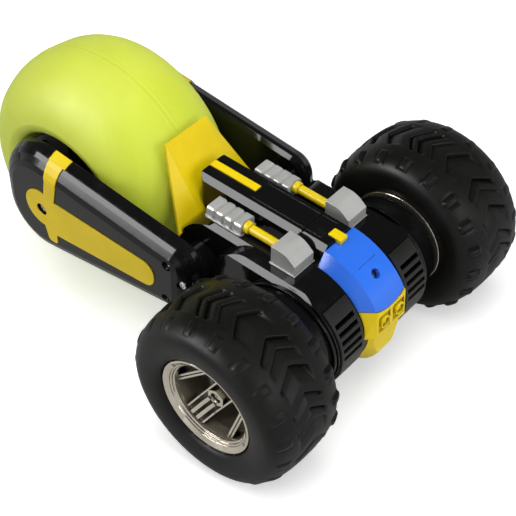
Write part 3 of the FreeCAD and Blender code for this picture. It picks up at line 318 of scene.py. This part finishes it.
FINISHES = {
    "upper_shell": GLOSS_BLACK, "lower_shell": SATIN_BLACK, "spine_rear_cover": GLOSS_BLACK,
    "spine_front_cover": GLOSS_BLACK, "spine_inserts": YELLOW, "visor": BLUE, "bumper": YELLOW,
    "mudguard": YELLOW, "engine_block": SILVER, "piston_rod": YELLOW, "intake_scoop": SILVER,
    "vent_grille": GRILLE_BLACK, "axle_housing": GLOSS_BLACK, "gearbox_case": SATIN_BLACK,
    "gearbox_lids": SATIN_BLACK, "motor": STEEL, "motor_pinion": BRASS, "compound_gear": NYLON,
    "output_gear": NYLON, "front_axle": STEEL, "rim": CHROME, "wheel_screw": ZINC,
    "arm_inner_half": GLOSS_BLACK, "arm_outer_half": GLOSS_BLACK, "arm_trims": TRIM_YELLOW,
    "circuit_board": BOARD, "board_components": COMPONENT, "battery_cells": CAN,
    "battery_contacts": BRASS, "switch_body": COMPONENT, "charge_socket": COMPONENT,
    "body_screws": ZINC, "axle_bushes": BRASS, "gear_pins": STEEL, "fork_pivot_shaft": STEEL,
    "fork_spring": STEEL, "rear_axle": STEEL, "arm_screws": ZINC, "rear_hub_halves": SATIN_BLACK,
    "battery_cover": SATIN_BLACK, "battery_cover_screw": ZINC, "power_switch": COMPONENT,
}


def finish_nodes():
    """One finish per kind of part; the soft parts get theirs with their own meshes below."""
    for name, item in NODES.items():
        kind = name.replace("left_", "").replace("right_", "")
        finish = FINISHES.get(kind)
        if finish is None:
            continue
        for slot in item.material_slots:
            slot.material = finish


# ---- own meshes ---------------------------------------------------------------------------------
def mesh_object(name, vertices, faces, material, body):
    data = bpy.data.meshes.new(name)
    data.from_pydata([tuple(v) for v in vertices], [], faces)
    data.validate()
    work = bmesh.new()
    work.from_mesh(data)
    bmesh.ops.recalc_face_normals(work, faces=work.faces)
    work.to_mesh(data)
    work.free()
    for polygon in data.polygons:
        polygon.use_smooth = True
    data.materials.append(material)
    made = bpy.data.objects.new(name, data)
    bpy.context.scene.collection.objects.link(made)
    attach(made, body)
    return made


def curve_through(points, spacing):
    """Points, about evenly spaced, on a uniform Catmull-Rom curve through the given ones."""
    points = np.array(points, float)
    ends = np.vstack([2 * points[0] - points[1], points, 2 * points[-1] - points[-2]])
    found = [points[0]]
    for k in range(1, len(ends) - 2):
        a, b, c, d = ends[k - 1:k + 3]
        steps = max(2, int(round(np.linalg.norm(c - b) / spacing)))
        for step in range(1, steps + 1):
            t = step / steps
            found.append(0.5 * ((2 * b) + (c - a) * t + (2 * a - 5 * b + 4 * c - d) * t ** 2
                                + (3 * b - a - 3 * c + d) * t ** 3))
    return np.array(found)


def smooth_step(value, low, high):
    t = np.clip((value - low) / (high - low), 0.0, 1.0)
    return t * t * (3 - 2 * t)


def ring_faces(columns, rows):
    """Quads of a grid that closes in both directions; vertex number is column * rows + row."""
    faces = []
    for i in range(columns):
        for j in range(rows):
            right, up = (i + 1) % columns, (j + 1) % rows
            faces.append((i * rows + j, i * rows + up, right * rows + up, right * rows + j))
    return faces


# Tread: angle of each chevron's point and the depth of the wall under it, going once round the wheel.
CHEVRONS = [(14.0, 1.4), (21.2, 3.1), (31.4, 2.6), (49.0, 3.0), (60.0, 1.3), (68.0, 2.8), (88.5, 3.0),
            (100.0, 1.4), (110.0, 3.1), (116.0, 2.6), (133.0, 2.8), (148.0, 3.0), (156.0, 1.3),
            (163.0, 2.8), (180.0, 3.0), (195.0, 1.4), (205.0, 3.1), (212.0, 2.6), (228.0, 2.8),
            (244.0, 3.0), (252.0, 1.3), (259.0, 2.8), (275.0, 3.0), (291.0, 1.4), (301.0, 3.1),
            (308.0, 2.6), (325.0, 2.9), (340.0, 3.0), (350.0, 1.3), (357.0, 2.8)]
TYRE_R = 55.0                           # over the tread, mm; lengths below are in mm as well
WALL_ANGLE = 0.42                       # degrees taken by the steep side of a chevron
FLAT_SHARE = 0.34                       # part of the pitch that stays at full height
CHEVRON_SLOPE = 0.66                    # how far the legs trail, mm per mm
CHEVRON_REACH = 14.0                    # from the middle of the tread to where the trailing ends
CHEVRON_SHIFT = 0.2                     # the points sit this far out from the middle of the tread
LEG_OUT, LEG_IN = 12.6, 10.6            # length of the outer and the inner leg
TICK_DEPTH = 2.3                        # short cut behind the end of each deep leg
KNOBS, KNOB_START, KNOB_HALF = 19, 75.0, 2.4                 # shoulder knobs, first one, half width
KNOB_RAISE, KNOB_GROOVE = 1.45, 0.55
KNOB_INNER_END, KNOB_OUTER_END = (16.2, 17.8), (23.6, 25.0)  # where a knob rises and falls, sideways
OUTER_KNOB_SHARE = 0.4                  # the outer shoulder has lower knobs than the inner one
FAR_TYRE_TURN = -10.5                   # turn of the far tyre against the near one, degrees


def tread_table():
    """Angle and depth pairs of the saw-tooth section, covering a little more than one turn."""
    table = []
    first = [(a - 360.0, d) for a, d in CHEVRONS[-1:]]
    ring = first + CHEVRONS + [(a + 360.0, d) for a, d in CHEVRONS[:2]]
    for (angle, depth), (following, next_depth) in zip(ring, ring[1:]):
        pitch = following - angle
        table += [(angle, 0.0), (angle + FLAT_SHARE * pitch, 0.03 * next_depth),
                  (angle + 0.7 * pitch, 0.5 * next_depth), (following - WALL_ANGLE, next_depth)]
    return np.array(table)


def tread_columns(table):
    """Angles at which the grid has a line: every corner of the table and steps between."""
    knots = [a for a in table[:, 0] if 0.0 <= a < 360.0]
    knots.append(knots[0] + 360.0)
    angles = []
    for low, high in zip(knots, knots[1:]):
        steps = max(1, int(math.ceil((high - low) / 0.95)))
        angles += [low + (high - low) * k / steps for k in range(steps)]
    return np.array(angles)


TYRE_OUTSIDE = [(22.75, 31.15), (24.6, 31.3), (26.3, 33.0), (27.4, 36.5), (27.9, 41.0), (27.6, 45.2),
                (26.0, 48.6), (23.0, 51.2), (18.5, 53.1), (11.0, 54.5), (0.0, 55.0), (-11.0, 54.5),
                (-18.5, 53.1), (-23.0, 51.2), (-26.0, 48.6), (-27.6, 45.2), (-27.9, 41.0),
                (-27.2, 36.0), (-25.6, 31.3)]
TYRE_INSIDE = [(-24.5, 29.4), (-24.3, 27.6), (-8.0, 27.5), (8.0, 27.5), (22.2, 27.5), (22.6, 29.2)]


def tyre_section():
    """Closed section (across, radius), how many of its points are outside, and their normals."""
    profile = curve_through(TYRE_OUTSIDE, 0.75)
    outside = len(profile)
    edge = np.gradient(profile, axis=0)
    profile = np.vstack([profile, TYRE_INSIDE])
    normal = np.zeros_like(profile)
    normal[:outside, 0], normal[:outside, 1] = edge[:, 1], -edge[:, 0]
    normal[:outside] /= np.linalg.norm(normal[:outside], axis=1)[:, None]
    if normal[outside // 2, 1] < 0:
        normal = -normal
    return profile, outside, normal


def tread_height(angle, across, table):
    """Height over the smooth tyre at one grid line: chevrons, ticks at their ends and knobs."""
    vee = np.abs(across - CHEVRON_SHIFT)
    legs = np.where(across > 0, LEG_OUT, LEG_IN)
    window = 1.0 - smooth_step(vee, legs - 2.4, legs)
    depth = np.interp(angle % 360.0, table[:, 0], table[:, 1]) * window
    for point, wall in CHEVRONS:
        behind = (angle - point + 180.0) % 360.0 - 180.0
        if wall > 2.0 and -2.7 < behind < -0.1:
            depth = np.maximum(depth, TICK_DEPTH * np.exp(-((vee - legs + 1.1) / 0.8) ** 2))
    trail = np.degrees(-CHEVRON_SLOPE * CHEVRON_REACH / TYRE_R)
    near = (angle + trail - KNOB_START) % (360.0 / KNOBS) - 180.0 / KNOBS
    knob = 1.0 - smooth_step(abs(near), KNOB_HALF - 0.7, KNOB_HALF + 0.3)
    aside = np.abs(across)
    band = smooth_step(aside, *KNOB_INNER_END) * (1.0 - smooth_step(aside, *KNOB_OUTER_END))
    groove = math.exp(-((abs(near) - KNOB_HALF - 1.2) / 0.8) ** 2)
    share = np.where(across > 0, OUTER_KNOB_SHARE, 1.0)
    return -depth + (KNOB_RAISE * knob - KNOB_GROOVE * groove) * band * share


def build_tyre(side_name, sign):
    """Rubber skin of one front tyre; sign is the side of the car it stands on."""
    profile, outside, normal = tyre_section()
    across, radius = profile[:, 0], profile[:, 1]
    vee = np.minimum(np.abs(across - CHEVRON_SHIFT), CHEVRON_REACH)
    trail = -CHEVRON_SLOPE * np.sqrt(vee ** 2 + 0.3) / TYRE_R
    trail[outside:] = trail[outside - 1]
    phase = 0.0 if sign < 0 else FAR_TYRE_TURN
    table = tread_table()
    columns = tread_columns(table)
    vertices = []
    for angle in columns:
        height = tread_height(angle, across, table)
        height[outside:] = 0.0
        points = profile + normal * height[:, None]
        theta = math.radians(angle + phase) - SIT + trail
        x = WHEEL.x + points[:, 1] * np.cos(theta) * MM
        z = WHEEL.z + points[:, 1] * np.sin(theta) * MM
        y = sign * (TYRE_MID + points[:, 0]) * MM
        vertices += list(np.stack([x, y, z], axis=1))
    faces = ring_faces(len(columns), len(profile))
    made = mesh_object(side_name + "_front_tyre", vertices, faces, RUBBER, side_name + "_wheel")
    detail = made.modifiers.new("detail", "SUBSURF")
    detail.levels = detail.render_levels = 1
    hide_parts(side_name + "_tyre")


# Inflated rear wheel: half section from the crown to the side opening, y and radius in mm.
BALLOON_R, BALLOON_HALF, BULGE = 78.3, 43.4, 0.7             # bulge: how much wider the walls stand
TUBE_R = 38.0                                                # radius on which the air chamber is centred
ROUNDNESS = 0.86                                             # 1 is an ellipse, less is squarer
SIDE_TURN, SIDE_STEPS = 79.2, 39
LIP = [(42.5, 43.6), (40.6, 41.2), (37.4, 40.3), (34.8, 39.4), (33.0, 38.4)]
INNER_WALL = [(29.4, 26.0), (0.0, 25.4), (-29.4, 26.0)]
BALLOON_COLUMNS = 320
SEAM_RAISE, SEAM_GROOVE = 0.34, 0.45
PUCKERS, PUCKER_HEIGHT = 58, 0.12                            # small ripples along the seam
LIP_WAVES, LIP_HEIGHT, LIP_BAND, LIP_FOOT_R = 36, 0.35, (36.0, 42.0), 41.0
SWELL_GAIN = 1.9                                             # strength of all the height details
SLACK_ANGLE, SLACK_SPREAD, SLACK_PULL = -78.0, 30.0, 3.4     # slack part of the side walls
SLACK_BAND = (22.0, 40.0)
FOLD_ANGLE, FOLD_SPREAD, FOLD_Y, FOLD_WIDTH = 9.0, 13.0, 26.0, 8.0    # small folds by the mudguard
FOLD_HEIGHT = 0.75


def balloon_side():
    points = []
    for step in range(SIDE_STEPS + 1):
        turn = math.radians(90.0 - SIDE_TURN * step / SIDE_STEPS)
        y = (BALLOON_HALF + BULGE) * math.cos(turn) ** ROUNDNESS
        points.append((max(y, 0.0), TUBE_R + (BALLOON_R - TUBE_R) * math.sin(turn) ** ROUNDNESS))
    return points + LIP


def near_angle(angle, centre, spread):
    """One at the centre angle, falling away smoothly on both sides."""
    gap = (angle - centre + 180.0) % 360.0 - 180.0
    return math.exp(-(gap / spread) ** 2)


def balloon_swell(angle, y, r):
    """Height over the smooth balloon: welded seam, slow lumps, puckers, folds and the rolled lip."""
    theta = math.radians(angle)
    place = Vector((math.cos(theta) * 1.7, y / 26.0, math.sin(theta) * 1.7))
    seam = SEAM_RAISE * math.exp(-((abs(y) - 1.4) / 0.5) ** 2) - SEAM_GROOVE * math.exp(-(y / 0.7) ** 2)
    lumps = noise.noise(place) * 0.65 + noise.noise(place * 2.3) * 0.25
    pucker = PUCKER_HEIGHT * math.cos(theta * PUCKERS + 5 * noise.noise(place * 2.0))
    pucker *= math.exp(-((abs(y) - 4.5) / 3.0) ** 2)
    lip = LIP_HEIGHT * math.cos(theta * LIP_WAVES + 3 * noise.noise(place * 1.3 + Vector((4, 0, 0))))
    lip *= float(smooth_step(abs(y), *LIP_BAND)) * (r > LIP_FOOT_R)
    folds = math.sin(abs(y) * 0.75 + angle * 0.22 + 2.5 * noise.noise(place * 1.5))
    folds *= FOLD_HEIGHT * near_angle(angle, FOLD_ANGLE, FOLD_SPREAD)
    folds *= math.exp(-((abs(y) - FOLD_Y) / FOLD_WIDTH) ** 2)
    return seam + lumps + pucker + lip + folds


def build_balloon():
    right = balloon_side()
    section = [(-y, r) for y, r in reversed(right)] + right[1:]
    profile = curve_through(section, 1.4)
    outside = len(profile)
    profile = np.vstack([profile, INNER_WALL])
    vertices = []
    for i in range(BALLOON_COLUMNS):
        angle = 360.0 * i / BALLOON_COLUMNS
        theta = math.radians(angle)
        slack = SLACK_PULL * near_angle(angle, SLACK_ANGLE, SLACK_SPREAD)
        for j, (y, r) in enumerate(profile):
            swell = balloon_swell(angle, y, r) if j < outside else 0.0
            radial = (r + (r - TUBE_R) * swell * SWELL_GAIN / BALLOON_R) * MM
            pull = slack * float(smooth_step(abs(y), *SLACK_BAND)) if j < outside else 0.0
            vertices.append((BALLOON.x + radial * math.cos(theta), (y - math.copysign(pull, y)) * MM,
                             BALLOON.z + radial * math.sin(theta)))
    faces = ring_faces(BALLOON_COLUMNS, len(profile))
    made = mesh_object("balloon_wheel_skin", vertices, faces, VINYL, "balloon_wheel")
    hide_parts("balloon_tyre")


# ---- studio -------------------------------------------------------------------------------------
FLOOR_HALF = 6.0            # metres
FLOOR_GLOW = 0.45           # extra brightness that only the camera sees
FLOOR_BOUNCE = 0.60         # how pale the floor is for light that goes back up to the car


def floor():
    s = Shader("studio_floor")
    cloud = s.noise(3.0, 3.0)
    tone = s.mix(s.ramp(cloud, 0.3, 0.7), (0.90, 0.90, 0.90, 1.0), (0.93, 0.93, 0.93, 1.0))
    seen = s.tree.nodes.new("ShaderNodeLightPath").outputs["Is Camera Ray"]
    tone = s.mix(seen, (FLOOR_BOUNCE, FLOOR_BOUNCE, FLOOR_BOUNCE, 1.0), tone)
    material = s.finish(Base_Color=tone, Roughness=0.9, Normal=s.bump(cloud, 0.05 * MM, 0.2),
                        Emission_Color=(1.0, 1.0, 1.0, 1.0),
                        Emission_Strength=s.math("MULTIPLY", seen, FLOOR_GLOW))
    data = bpy.data.meshes.new("floor")
    corners = [(u * FLOOR_HALF, v * FLOOR_HALF, 0) for u, v in ((-1, -1), (1, -1), (1, 1), (-1, 1))]
    data.from_pydata(corners, [], [(0, 1, 2, 3)])
    data.materials.append(material)
    made = bpy.data.objects.new("floor", data)
    bpy.context.scene.collection.objects.link(made)


KEY_DIRECTION = (-0.483, -0.704, 0.521)


def softbox(name, direction, distance, width, height, radiance, lights=True, mirrored=True):
    """Area light from a direction in the level car's frame; it lights surfaces, shows in gloss or both."""
    data = bpy.data.lights.new(name, "AREA")
    data.shape, data.size, data.size_y = "RECTANGLE", width, height
    data.energy = radiance * math.pi * width * height
    made = bpy.data.objects.new(name, data)
    bpy.context.scene.collection.objects.link(made)
    away = turned_down(direction).normalized()
    made.location = Vector((0.0, 0.0, 0.05)) + away * distance
    made.rotation_mode = "QUATERNION"
    made.rotation_quaternion = away.to_track_quat("Z", "Y")
    made.visible_diffuse, made.visible_glossy = lights, mirrored


SKY = [(0.0, 1.0), (0.36, 0.10), (1.0, 0.06)]                # height over the horizon, brightness


def surroundings():
    """Grey sky: bright at the horizon, dark overhead, so that gloss shows clear shapes."""
    world = bpy.data.worlds.new("studio")
    bpy.context.scene.world = world
    world.use_nodes = True
    tree = world.node_tree
    tree.nodes.clear()
    coord = tree.nodes.new("ShaderNodeTexCoord")
    split = tree.nodes.new("ShaderNodeSeparateXYZ")
    tree.links.new(coord.outputs["Generated"], split.inputs[0])
    ramp = tree.nodes.new("ShaderNodeValToRGB")
    tree.links.new(split.outputs["Z"], ramp.inputs[0])
    stops = ramp.color_ramp.elements
    stops.new(SKY[1][0])
    for stop, (position, grey) in zip(stops, SKY):
        stop.position, stop.color = position, (grey, grey, grey, 1.0)
    back = tree.nodes.new("ShaderNodeBackground")
    back.inputs["Strength"].default_value = 1.0
    tree.links.new(ramp.outputs[0], back.inputs["Color"])
    out = tree.nodes.new("ShaderNodeOutputWorld")
    tree.links.new(back.outputs[0], out.inputs["Surface"])


# Camera in the level car's frame: azimuth, elevation and roll in degrees, distances in tyre radii.
AZIMUTH, ELEVATION, ROLL = 39.875, 45.591, 0.681
DISTANCE, SHIFT_X, SHIFT_Y = 14.4, -0.786, 0.354
LENS, SENSOR = 97.12, 36.0


def camera():
    az, el, roll = (math.radians(a) for a in (AZIMUTH, ELEVATION, ROLL))
    back = Vector((math.sin(az) * math.cos(el), -math.cos(az) * math.cos(el), math.sin(el)))
    right = Vector((math.cos(az), math.sin(az), 0.0))
    up = back.cross(right)
    right, up = (right * math.cos(roll) + up * math.sin(roll), up * math.cos(roll) - right * math.sin(roll))
    centre = (back * DISTANCE + right * SHIFT_X + up * SHIFT_Y) * TYRE_R
    columns = [turned_down(v) for v in (right, up, back)]
    data = bpy.data.cameras.new("camera")
    data.lens, data.sensor_width = LENS, SENSOR
    data.clip_start, data.clip_end = 0.05, 50.0
    made = bpy.data.objects.new("camera", data)
    bpy.context.scene.collection.objects.link(made)
    place = Matrix([[c[row] for c in columns] for row in range(3)]).to_4x4()
    place.translation = placed(centre)
    made.matrix_world = place
    bpy.context.scene.camera = made


finish_nodes()
build_tyre("left", 1.0)
build_tyre("right", -1.0)
build_balloon()
floor()
surroundings()
softbox("key_reflection", KEY_DIRECTION, 2.2, 1.3, 1.3, 12.0, lights=False)
softbox("key_light", KEY_DIRECTION, 2.2, 1.4, 1.4, 2.4, mirrored=False)
softbox("front_softbox", (0.88, 0.05, 0.55), 2.4, 1.3, 1.1, 3.6)
softbox("top_light", (0.05, -0.15, 0.98), 2.6, 2.4, 2.4, 3.4, mirrored=False)
camera()
bpy.context.scene.view_settings.view_transform = "Standard"
